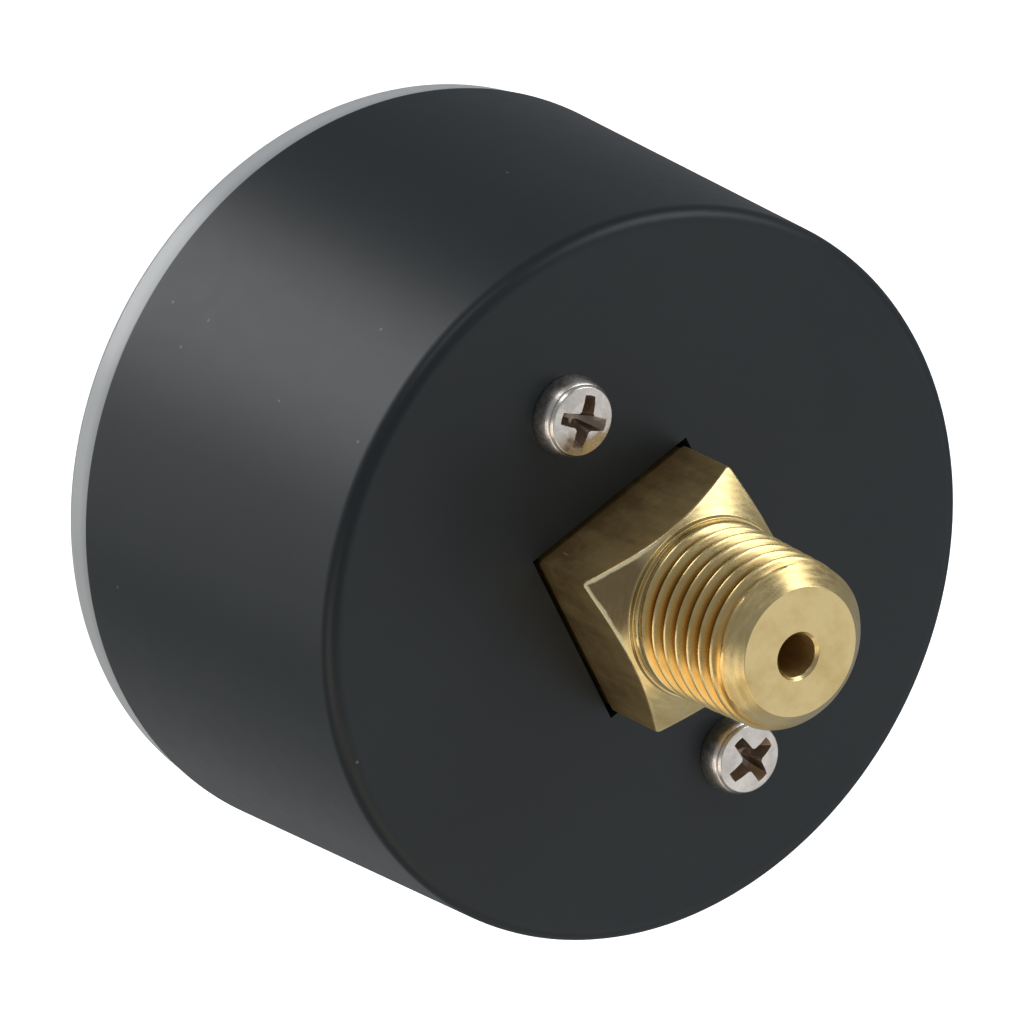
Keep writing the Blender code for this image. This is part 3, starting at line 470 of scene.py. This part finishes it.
def turned_brass():
    """Turned brass: fine rings, painted reflection on the thread flanks, painted shade in the
    valleys, the bore and one corner, and a worn edge with a painted highlight.
    """
    n = Nodes("turned_brass")
    stain = n.ramp(n.noise(330, 5, 0.6), 0.45, 0.72)
    colour = n.mix(stain, rgb(0.80, 0.63, 0.31), rgb(0.66, 0.49, 0.21))
    across = n.node("ShaderNodeVectorMath", Vector=n.stretched(1, 0, 1))
    across.operation = "LENGTH"
    across = across.outputs["Value"]
    widening = n.math("MULTIPLY", n.axis("Y"), -THREAD_TAPER)
    crest = n.math("ADD", THREAD_SHADE_RADIUS * MM, widening)
    below = n.math("SUBTRACT", crest, across)
    before_end = n.ramp(n.axis("Y"), -THREAD_SHADE_END[1] * MM, -THREAD_SHADE_END[0] * MM)
    threaded = n.math("MULTIPLY", n.depth_ramp(*THREAD_SHADE_START), before_end)
    # Painted reflection: orange on the thread flanks, stronger towards +x, for light bounced
    # between the flanks.
    painted_flank_reflection = n.math("MULTIPLY", n.size_ramp(below, *FLANK_BELOW_CREST), threaded)
    painted_flank_reflection = n.math("MULTIPLY", painted_flank_reflection, n.size_ramp(n.axis("X"), 1.0, 5.0, 0.15, 1.0))
    colour = n.mix(painted_flank_reflection, colour, rgb(0.90, 0.52, 0.14))
    # Painted shade: dark brown in the thread valleys.
    painted_valley_shade = n.math("MULTIPLY", n.size_ramp(below, *VALLEY_BELOW_CREST), threaded)
    colour = n.mix(painted_valley_shade, colour, rgb(0.20, 0.11, 0.035))
    # Painted shade: darker, more orange brass inside the bore.
    near_axis = n.ramp(across, BORE_SHADE_RADIUS[1] * MM, BORE_SHADE_RADIUS[0] * MM)
    bore = n.math("MULTIPLY", near_axis, n.depth_ramp(*BORE_SHADE_START))
    colour = n.mix(bore, colour, rgb(0.62, 0.36, 0.13))
    # Painted shade: brown on the chamfer at the square's +x, +y corner.
    chamfered = n.depth_ramp(CONE_START, CONE_START + 0.1)
    corner = n.size_ramp(n.math("MINIMUM", n.axis("X"), n.axis("Z")), *CORNER_SHADE)
    skin_and_painted_shade = n.math("MULTIPLY", corner, chamfered)
    colour = n.mix(skin_and_painted_shade, colour, rgb(0.38, 0.275, 0.14))
    # Worn chamfer edge with a painted highlight: pale and less metallic, brighter towards +x and
    # +y where it catches the light.
    outward = n.math("MAXIMUM", n.math("ABSOLUTE", n.axis("X")), n.math("ABSOLUTE", n.axis("Z")))
    outward = n.math("ADD", outward, n.math("MULTIPLY", n.noise(700, 3), 0.3 * MM))
    worn_edge_and_highlight = n.math("MULTIPLY", n.size_ramp(outward, *WORN_HIGHLIT_EDGE), chamfered)
    towards = n.math("ADD", n.axis("Z"), n.axis("X"))
    worn_edge_and_highlight = n.math("MULTIPLY", worn_edge_and_highlight, n.size_ramp(towards, *EDGE_HIGHLIGHT_SIDE, 0.12, 1.0))
    colour = n.mix(worn_edge_and_highlight, colour, rgb(0.95, 0.86, 0.56))
    metal = n.math("SUBTRACT", 1.0, n.math("MULTIPLY", worn_edge_and_highlight, 0.7))
    rings = n.node("ShaderNodeTexWave", Vector=n.coordinates, Scale=620.0, Distortion=1.2,
                   Detail=2.0)
    rings.wave_type = "RINGS"
    rings.rings_direction = "Y"
    rings.inputs["Detail Scale"].default_value = 0.4
    normal = n.bump(rings.outputs["Fac"], 0.10, 0.00003)
    normal = n.bump(n.noise(5200, 3), 0.08, 0.00001, normal)
    scratches = n.noise(1.0, 2, 0.5, n.stretched(900, 5200, 900))
    n.set(Base_Color=colour, Metallic=metal, Normal=normal)
    n.set(Roughness=n.ramp(scratches, 0.3, 0.7, 0.20, 0.34))
    return n.material


def bright_metal(name, colour, rough):
    """Plated or turned steel with light handling marks."""
    n = Nodes(name)
    blotch = n.ramp(n.noise(700, 4, 0.6), 0.40, 0.70)
    darker = [value * 0.80 for value in colour]
    n.set(Base_Color=n.mix(blotch, rgb(*colour), rgb(*darker)), Metallic=1.0)
    n.set(Roughness=n.ramp(n.noise(2600, 4), 0.3, 0.7, rough * 0.75, rough * 1.35))
    n.set(Normal=n.bump(n.noise(1800, 3), 0.10, 0.00002))
    return n.material


def clear_plastic(name, colour, rough, transmission, edge=None):
    """Moulded plastic that lets light through: clear in the window, milky where it is thick."""
    n = Nodes(name)
    # Painted shade: the edge colour darkens the rim next to the case and near its front.
    if edge:
        depth = n.math("MULTIPLY", n.axis("Y"), -1 / MM)
        behind = n.ramp(depth, CASE_FRONT + 0.1, CASE_FRONT + 1.3, 1.0, 0.0)
        before = n.ramp(depth, LENS_FRONT - 0.9, LENS_FRONT - 0.3)
        colour = n.mix(n.math("MAXIMUM", behind, before), colour, edge)
    n.set(Base_Color=colour, Roughness=rough, IOR=1.49)
    n.set(Transmission_Weight=transmission)
    n.set(Normal=n.bump(n.noise(260, 3), 0.03, 0.0001))
    clear = n.node("ShaderNodeBsdfTransparent")
    mix = n.node("ShaderNodeMixShader")
    light_path = n.node("ShaderNodeLightPath")
    n.put(mix.inputs[0], light_path.outputs["Is Shadow Ray"])
    n.put(mix.inputs[1], n.shader.outputs[0])
    n.put(mix.inputs[2], clear.outputs[0])
    n.put(n.output.inputs["Surface"], mix.outputs[0])
    return n.material


def flat_enamel(name, colour, rough):
    """Matt enamel with a faint texture."""
    n = Nodes(name)
    blotch = n.ramp(n.noise(300, 4), 0.35, 0.65)
    darker = [value * 0.93 for value in colour]
    n.set(Base_Color=n.mix(blotch, rgb(*colour), rgb(*darker)), Metallic=0.0)
    n.set(Roughness=n.ramp(n.noise(1200, 3), 0.3, 0.7, rough - 0.05, rough + 0.05))
    n.set(Normal=n.bump(n.noise(4000, 3), 0.05, 0.00002))
    return n.material


PAINT = black_paint()
TURNED = turned_brass()
FLAT_BRASS = square_brass()
PLATE_BRASS = brass("movement_brass", (0.78, 0.60, 0.28), (0.66, 0.48, 0.20),
                    0.45, 0.75, (4000, 300, 300), 0.10)
BRONZE = brass("tube_bronze", (0.72, 0.47, 0.28), (0.55, 0.33, 0.17),
               0.4, 0.7, (600, 3000, 600), 0.08)
NICKEL = bright_metal("nickel_plate", (0.80, 0.745, 0.69), 0.27)
# Painted shade: darker, brownish metal inside the screws' cross recess.
RECESS_SHADE = bright_metal("screw_recess_shade", (0.40, 0.32, 0.26), 0.34)
STEEL = bright_metal("turned_steel", (0.60, 0.60, 0.61), 0.28)
PLASTIC = clear_plastic("clear_plastic", rgb(0.93, 0.95, 0.96), 0.05, 1.0)
# The last colour is painted shade at the rim's back and front edges.
RIM_PLASTIC = clear_plastic("rim_plastic", rgb(0.64, 0.66, 0.67), 0.28, 0.25,
                            rgb(0.42, 0.44, 0.47))
DIAL_WHITE = flat_enamel("dial_white", (0.86, 0.86, 0.84), 0.50)
INK = flat_enamel("dial_ink", (0.015, 0.015, 0.017), 0.55)
POINTER_BLACK = flat_enamel("pointer_black", (0.020, 0.020, 0.022), 0.42)

SLOT_MATERIALS = {
    "black_paint": PAINT,
    "clear_plastic": PLASTIC,
    "stem_brass": TURNED,
    "movement_brass": PLATE_BRASS,
    "plated_screw": NICKEL,
    "tube_bronze": BRONZE,
    "steel": STEEL,
    "dial_white": DIAL_WHITE,
    "pointer_black": POINTER_BLACK,
}


def dress_cad_nodes():
    """Give each carried-over node the finish of its material slot."""
    for part in frame["record"]["subparts"]:
        material = SLOT_MATERIALS[part["material_slot"]]
        node = frame["nodes"][part["node"]]
        for slot in node.material_slots:
            slot.material = material


# ---------------------------------------------------------------- case

def make_case():
    """Drawn cup with a rounded back edge, cut for the stem and the two screws."""
    floor = CASE_BACK + CASE_WALL
    profile = [(0.0, floor), (CASE_REAR_RADIUS - CASE_WALL, floor, 0.25),
               (CASE_FRONT_RADIUS - CASE_WALL, CASE_FRONT, 0.25),
               (CASE_FRONT_RADIUS, CASE_FRONT, 0.25),
               (CASE_REAR_RADIUS, CASE_BACK, CASE_FILLET), (0.0, CASE_BACK)]
    mesh = lathe("case", rounded(profile, 0.2, 7), segments=256)
    case = add_piece("case", mesh, ROOT, PAINT, ("case_shell",), 40)
    behind, inside = CASE_BACK - 1, CASE_BACK + 3
    cut(case, block("square_cutter", (-SQUARE_HOLE_HALF, -SQUARE_HOLE_HALF, behind),
                    (SQUARE_HOLE_HALF, SQUARE_HOLE_HALF, inside)))
    hole = [(0, inside), (CASE_SCREW_HOLE, inside), (CASE_SCREW_HOLE, behind), (0, behind)]
    for y, _ in SCREWS.values():
        cut(case, lathe("hole_cutter", hole, (0, y), 32))
    resharpen(case, 40)


def block(name, low, high):
    """Box mesh between two corners."""
    shape = bmesh.new()
    bmesh.ops.create_cube(shape, size=1)
    for vert in shape.verts:
        share = [value + 0.5 for value in vert.co]
        place = [low[axis] + (high[axis] - low[axis]) * share[axis] for axis in range(3)]
        vert.co = world(*place)
    return mesh_from(name, shape)


def cut(piece, cutter_mesh, operation="DIFFERENCE"):
    """Boolean a piece with a mesh and apply it."""
    tool = bpy.data.objects.new("tool", cutter_mesh)
    bpy.context.scene.collection.objects.link(tool)
    step = piece.modifiers.new("cut", "BOOLEAN")
    step.operation = operation
    step.solver = "EXACT"
    step.material_mode = "TRANSFER"
    step.object = tool
    apply_modifiers(piece)
    bpy.data.objects.remove(tool, do_unlink=True)


def resharpen(piece, angle):
    """Smooth a cut piece again, with sharp edges over an angle."""
    piece.data.shade_smooth()
    piece.data.set_sharp_from_angle(angle=math.radians(angle))


def apply_modifiers(piece):
    """Bake a piece's modifiers into its mesh."""
    bpy.context.view_layer.update()
    depsgraph = bpy.context.evaluated_depsgraph_get()
    mesh = bpy.data.meshes.new_from_object(piece.evaluated_get(depsgraph))
    old = piece.data
    piece.modifiers.clear()
    piece.data = mesh
    bpy.data.meshes.remove(old)


# ---------------------------------------------------------------- lens

def make_lens():
    """Clear cover: window, rounded rim, and a skirt that snaps inside the case."""
    rim_back = CASE_FRONT + 0.1
    window_back = LENS_FRONT - LENS_WINDOW
    profile = [(0.0, LENS_FRONT), (LENS_RADIUS, LENS_FRONT, 0.9), (LENS_RADIUS, rim_back, 0.25),
               (LENS_SKIRT_RADIUS, rim_back, 0.1), (LENS_SKIRT_RADIUS, LENS_SKIRT_END, 0.2),
               (LENS_INNER_RADIUS, LENS_SKIRT_END, 0.2), (LENS_INNER_RADIUS, window_back, 0.8),
               (0.0, window_back)]
    mesh = lathe("cover", rounded(profile, 0.1, 6), segments=256)
    cover = add_piece("clear_cover", mesh, ROOT, PLASTIC, ("lens",), 40)
    cover.data.materials.append(RIM_PLASTIC)
    for face in cover.data.polygons:
        if Vector((face.center.x, 0, face.center.z)).length > LENS_RIM_START * MM:
            face.material_index = 1


# ---------------------------------------------------------------- stem

def thread_radius(depth, phase):
    """Radius of the thread, its lead and the groove in front of the ring."""
    crest = THREAD_CREST_RADIUS + THREAD_TAPER * depth
    from_middle = abs(2 * (phase % 1.0) - 1)
    height = min(1.0, max(0.0, (from_middle - THREAD_CREST_FLAT) / THREAD_FLANKS))
    start = min(1.0, max(0.0, (depth - THREAD_START) / THREAD_PITCH))
    end = min(1.0, max(0.0, (THREAD_END - 0.1 - depth) / (0.9 * THREAD_PITCH)))
    lead = THREAD_LEAD_RADIUS + depth
    return min(crest - THREAD_DEPTH * height * start * end, lead)


def square_radius(angle):
    """Distance from the axis to the outline of the rounded square."""
    across = abs(math.cos(angle))
    along = abs(math.sin(angle))
    reach = SQUARE_HALF / max(across, along)
    centre = SQUARE_HALF - SQUARE_CORNER_RADIUS
    if min(across, along) * reach <= centre:
        return reach
    spread = centre * (across + along)
    return spread + math.sqrt(spread ** 2 - 2 * centre ** 2 + SQUARE_CORNER_RADIUS ** 2)


def column_angles(count):
    """Angles round the stem, closer together near the square's corners."""
    angles = []
    for index in range(count):
        side, share = divmod(4 * index / count, 1.0)
        eased = share + 0.7 * math.sin(2 * math.pi * share) / (2 * math.pi)
        angles.append((side + eased) * math.pi / 2)
    return angles


def make_stem():
    """Threaded stem and wrench square as one grid of rings round the bore."""
    columns = 192
    per_pitch = 14
    angles = column_angles(columns)
    shape = bmesh.new()

    def ring(points):
        verts = []
        for angle, (radius, depth) in zip(angles, points):
            in_bore = radius < BORE_RADIUS + BORE_CENTRED
            x, y = BORE_CENTRE if in_bore else (0, 0)
            place = world(x + radius * math.cos(angle), y + radius * math.sin(angle), depth)
            verts.append(shape.verts.new(place))
        return verts

    lead_profile = rounded([(BORE_RADIUS, BORE_END), (BORE_RADIUS, 0.25, 0.05),
                            (BORE_RADIUS + 0.25, 0.0, 0.05), (THREAD_LEAD_RADIUS, 0.0, 0.10),
                            (THREAD_LEAD_RADIUS + 0.3, 0.3)], 0.1, 4)
    before = [ring([point] * columns) for point in lead_profile]
    start = lead_profile[-1][1]
    rows = math.ceil(THREAD_END / THREAD_PITCH + 1) * per_pitch
    grid = {}
    for row in range(-per_pitch, rows + per_pitch + 1):
        for column in range(columns):
            phase = row / per_pitch
            angle = angles[column]
            depth = min(max((phase + angle / (2 * math.pi)) * THREAD_PITCH, start), THREAD_END)
            radius = thread_radius(depth, phase)
            place = world(radius * math.cos(angle), radius * math.sin(angle), depth)
            grid[row, column] = shape.verts.new(place)
    for row in range(-per_pitch, rows):
        for column in range(columns):
            shift, right = (per_pitch, 0) if column == columns - 1 else (0, column + 1)
            add_face(shape, (grid[row, column], grid[row + shift, right],
                             grid[row + 1 + shift, right], grid[row + 1, column]))
    after = []
    profiles = []
    for angle in angles:
        outer = square_radius(angle)
        edge_depth = CONE_START + (outer - RING_RADIUS) * CONE_SLOPE
        crest_end = THREAD_CREST_RADIUS + THREAD_TAPER * THREAD_END
        neck = outer * SQUARE_NECK_HALF / SQUARE_HALF
        profiles.append(rounded([(crest_end, THREAD_END), (RING_RADIUS, THREAD_END, 0.08),
                                 (RING_RADIUS, CONE_START, 0.12), (outer, edge_depth, 0.22),
                                 (outer, SQUARE_SHOULDER, 0.05), (neck, SQUARE_SHOULDER, 0),
                                 (neck, STEM_INNER_END, 0.1),
                                 (BORE_RADIUS + 1.0, STEM_INNER_END),
                                 (BORE_RADIUS, BORE_END)], 0.1, 4))
    for row in range(len(profiles[0])):
        after.append(ring([profile[row] for profile in profiles]))
    join_rows(shape, before, False, True)
    join_rows(shape, after, False, True)
    join_rows(shape, [after[-1], before[0]], False, True)
    lead_end = ring([(thread_radius(start, 0), start)] * columns)
    join_rows(shape, [before[-1], lead_end], False, True)
    stem = add_piece("stem", mesh_from("stem", shape), ROOT, TURNED, ("socket",), 32)
    stem.data.materials.append(FLAT_BRASS)
    flats_start = CONE_START + 0.15
    for face in stem.data.polygons:
        radial = Vector((face.normal.x, 0, face.normal.z)).length
        if radial > 0.80 and -face.center.y / MM > flats_start:
            face.material_index = 1


def make_socket_inside():
    """Bar behind the movement, with the block that holds the tube."""
    bar = block("bar", *BAR)
    piece = add_piece("socket_bar", bar, ROOT, PLATE_BRASS, ("socket",), 30)
    cut(piece, block("tube_block", *TUBE_BLOCK), "UNION")
    cut(piece, block("pocket", *TUBE_POCKET))
    resharpen(piece, 30)


# ---------------------------------------------------------------- screws

def cross_cutter(centre, turn, top, bottom):
    """Tapered cross with rounded inner corners."""
    arm, half = CROSS_ARM, CROSS_HALF_WIDTH
    inner = half + CROSS_INNER_CORNER
    quarter_points = [(inner, -half), (arm, -half * 0.85), (arm + 0.05, 0.0), (arm, half * 0.85),
                      (inner, half)]
    outline = []
    for quarter in range(4):
        spin = Matrix.Rotation(turn + quarter * math.pi / 2, 2)
        outline += [spin @ Vector(point) for point in quarter_points]
    shape = bmesh.new()
    rows = []
    for depth, size in ((top, 1.20), (bottom - 0.45, 0.66), (bottom, 0.30)):
        places = [world(centre[0] + point.x * size, centre[1] + point.y * size, depth)
                  for point in outline]
        rows.append([shape.verts.new(place) for place in places])
    join_rows(shape, rows, False, True)
    shape.faces.new(rows[0])
    shape.faces.new(rows[-1])
    mesh = mesh_from("cross", shape)
    # The recess faces get the painted-shade metal.
    mesh.materials.append(RECESS_SHADE)
    return mesh


def make_screws():
    """Pan-head cross-recess screws, bright plated."""
    seat = CASE_BACK - SCREW_SINK
    profile = SCREW_SHANK + [(SCREW_SHANK_RADIUS, seat), (SCREW_HEAD_RADIUS, seat)]
    for step in range(8):
        angle = math.radians(10 * step)
        profile.append((SCREW_SIDE_CENTRE[0] + SCREW_SIDE_RADII[0] * math.cos(angle),
                        seat - SCREW_SIDE_CENTRE[1] - SCREW_SIDE_RADII[1] * math.sin(angle), 0.02))
    for radius, height, *own in SCREW_CROWN:
        profile.append((radius, seat - height, *own))
    for name, (y, turn) in SCREWS.items():
        mesh = lathe("screw", rounded(profile, 0.05, 5), (0, y), 96)
        screw = add_piece("case_screw_" + name + "_fine", mesh, ROOT, NICKEL,
                          ("case_screw_" + name,), 35)
        cut(screw, cross_cutter((0, y), turn, seat - 3.2, seat - 0.45))
        soft = screw.modifiers.new("soft", "BEVEL")
        soft.width = SCREW_BEVEL * MM
        soft.segments = 3
        soft.material = 0
        soft.limit_method = "ANGLE"
        soft.angle_limit = math.radians(38)
        apply_modifiers(screw)
        resharpen(screw, 40)


# ---------------------------------------------------------------- inside

def make_tube():
    """Bourdon tube, curved between the socket and its tip."""
    outer = []
    inner = []
    for side in (1, -1):
        for step in range(9):
            angle = math.pi * step / 8 + (0 if side == 1 else math.pi)
            for wall, ring in ((0.0, outer), (TUBE_WALL, inner)):
                across = (TUBE_ROUND - wall) * math.cos(angle)
                along = side * TUBE_HALF_STRAIGHT + (TUBE_ROUND - wall) * math.sin(angle)
                ring.append((TUBE_CENTRE[0] + across, TUBE_CENTRE[1] + along))
    segments = 120
    angles = [TUBE_START + TUBE_TURN * column / segments for column in range(segments + 1)]
    shape = bmesh.new()
    walls = []
    for profile in (outer, inner):
        grid = []
        for radius, depth in profile:
            places = [world(radius * math.cos(angle), radius * math.sin(angle), depth)
                      for angle in angles]
            grid.append([shape.verts.new(place) for place in places])
        join_rows(shape, grid, True, False)
        walls.append(grid)
    for end in (0, segments):
        edges = [[row[end] for row in grid] for grid in walls]
        join_rows(shape, edges, False, True)
    piece = bpy.data.objects.new("tube", mesh_from("tube", shape))
    bpy.context.scene.collection.objects.link(piece)
    piece.data.materials.append(BRONZE)
    piece.data.shade_smooth()
    piece.data.set_sharp_from_angle(angle=math.radians(40))
    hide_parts("bourdon_tube")
    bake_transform(piece)


def make_dial_print():
    """Scale from 0 to 10 with numbers, a thin print on the dial."""
    top = PRINT_SURFACE + PRINT_THICKNESS
    shape = bmesh.new()

    def bar(angle, inner, outer, width):
        out = Vector((math.sin(angle), math.cos(angle)))
        side = Vector((out.y, -out.x)) * width / 2
        corners = [out * inner + side, out * outer + side, out * outer - side, out * inner - side]
        low = [shape.verts.new(world(point.x, point.y, PRINT_SURFACE)) for point in corners]
        high = [shape.verts.new(world(point.x, point.y, top)) for point in corners]
        shape.faces.new(low)
        shape.faces.new(high[::-1])
        for index in range(4):
            after = (index + 1) % 4
            shape.faces.new((low[index], low[after], high[after], high[index]))

    for index in range(SCALE_DIVISIONS + 1):
        angle = SCALE_START + SCALE_SWEEP * index / SCALE_DIVISIONS
        marks = next(step for step in SCALE_TICKS if index % step == 0)
        inner, width = SCALE_TICKS[marks]
        bar(angle, inner, TICK_OUTER_RADIUS, width)
    add_piece("scale_ticks", mesh_from("ticks", shape), ROOT, INK)
    inner, outer = SCALE_ARC
    arc_profile = [(inner, PRINT_SURFACE), (outer, PRINT_SURFACE), (outer, top), (inner, top)]
    arc = lathe("scale_arc", arc_profile, segments=180, closed=True, turn=SCALE_SWEEP,
                start=math.radians(90) - SCALE_START - SCALE_SWEEP)
    close_ends(arc)
    add_piece("scale_arc", arc, ROOT, INK)
    for index in range(NUMBER_COUNT):
        make_number(index * NUMBER_STEP, SCALE_START + SCALE_SWEEP * index / (NUMBER_COUNT - 1))


def make_number(number, angle):
    """One number of the scale, as a thin print."""
    text = bpy.data.curves.new("number", "FONT")
    text.body = str(number)
    text.size = NUMBER_SIZE * MM
    text.align_x = "CENTER"
    text.align_y = "CENTER"
    text.extrude = PRINT_THICKNESS / 2 * MM
    text.resolution_u = 6
    label = bpy.data.objects.new("label", text)
    bpy.context.scene.collection.objects.link(label)
    bpy.context.view_layer.update()
    depsgraph = bpy.context.evaluated_depsgraph_get()
    mesh = bpy.data.meshes.new_from_object(label.evaluated_get(depsgraph))
    bpy.data.objects.remove(label, do_unlink=True)
    place = world(NUMBER_RADIUS * math.sin(angle), NUMBER_RADIUS * math.cos(angle),
                  PRINT_SURFACE + PRINT_THICKNESS / 2)
    mesh.transform(Matrix.Translation(place) @ Matrix.Rotation(math.pi / 2, 4, "X"))
    add_piece("number_%d" % number, mesh, ROOT, INK)


def close_ends(mesh):
    """Cap the open ends of a swept strip."""
    shape = bmesh.new()
    shape.from_mesh(mesh)
    bmesh.ops.holes_fill(shape, edges=shape.edges)
    bmesh.ops.recalc_face_normals(shape, faces=shape.faces)
    shape.to_mesh(mesh)
    shape.free()


# ---------------------------------------------------------------- studio

def make_camera():
    """Camera behind and above the gauge, looking along the stem from its side."""
    camera = bpy.data.objects.new("camera", bpy.data.cameras.new("camera"))
    camera.data.lens = CAMERA_LENS
    camera.data.sensor_width = CAMERA_SENSOR
    camera.data.clip_end = CAMERA_FAR
    turn = Matrix((CAMERA_RIGHT, CAMERA_UP, CAMERA_BACK)).transposed().to_4x4()
    case_back = Vector((0, -CASE_BACK * MM, 0))
    camera.matrix_world = Matrix.Translation(case_back + CAMERA_PLACE) @ turn
    bpy.context.scene.collection.objects.link(camera)
    bpy.context.scene.camera = camera


def softbox(name, direction, distance, size, watts, colour):
    """Rectangular area light that faces the gauge."""
    light = bpy.data.lights.new(name, "AREA")
    light.shape = "RECTANGLE"
    light.size, light.size_y = size
    light.energy = watts
    light.color = colour
    lamp = bpy.data.objects.new(name, light)
    aim = Vector(direction).normalized()
    lamp.location = LIGHT_TARGET + aim * distance
    lamp.rotation_euler = aim.to_track_quat("Z", "Y").to_euler()
    lamp.visible_camera = False
    bpy.context.scene.collection.objects.link(lamp)


def make_studio():
    """White floor, soft boxes and a pale world."""
    shape = bmesh.new()
    bmesh.ops.create_grid(shape, x_segments=1, y_segments=1, size=FLOOR_HALF)
    floor_mesh = bpy.data.meshes.new("floor")
    shape.to_mesh(floor_mesh)
    shape.free()
    floor = bpy.data.objects.new("floor", floor_mesh)
    floor.location = (0, 0, FLOOR_HEIGHT)
    floor.visible_glossy = False
    floor.visible_diffuse = False
    bpy.context.scene.collection.objects.link(floor)
    n = Nodes("floor")
    n.set(Base_Color=rgb(0.9, 0.9, 0.9), Roughness=0.9)
    n.set(Emission_Color=rgb(1, 1, 1), Emission_Strength=FLOOR_GLOW)
    floor_mesh.materials.append(n.material)
    world_shader = bpy.data.worlds.new("studio")
    world_shader.use_nodes = True
    background = world_shader.node_tree.nodes["Background"]
    background.inputs["Color"].default_value = SKY
    background.inputs["Strength"].default_value = SKY_STRENGTH
    bpy.context.scene.world = world_shader
    for light in LIGHTS:
        softbox(*light)
    bpy.context.scene.view_settings.view_transform = "Standard"


dress_cad_nodes()
make_case()
make_lens()
make_stem()
make_socket_inside()
make_screws()
make_tube()
make_dial_print()
make_camera()
make_studio()
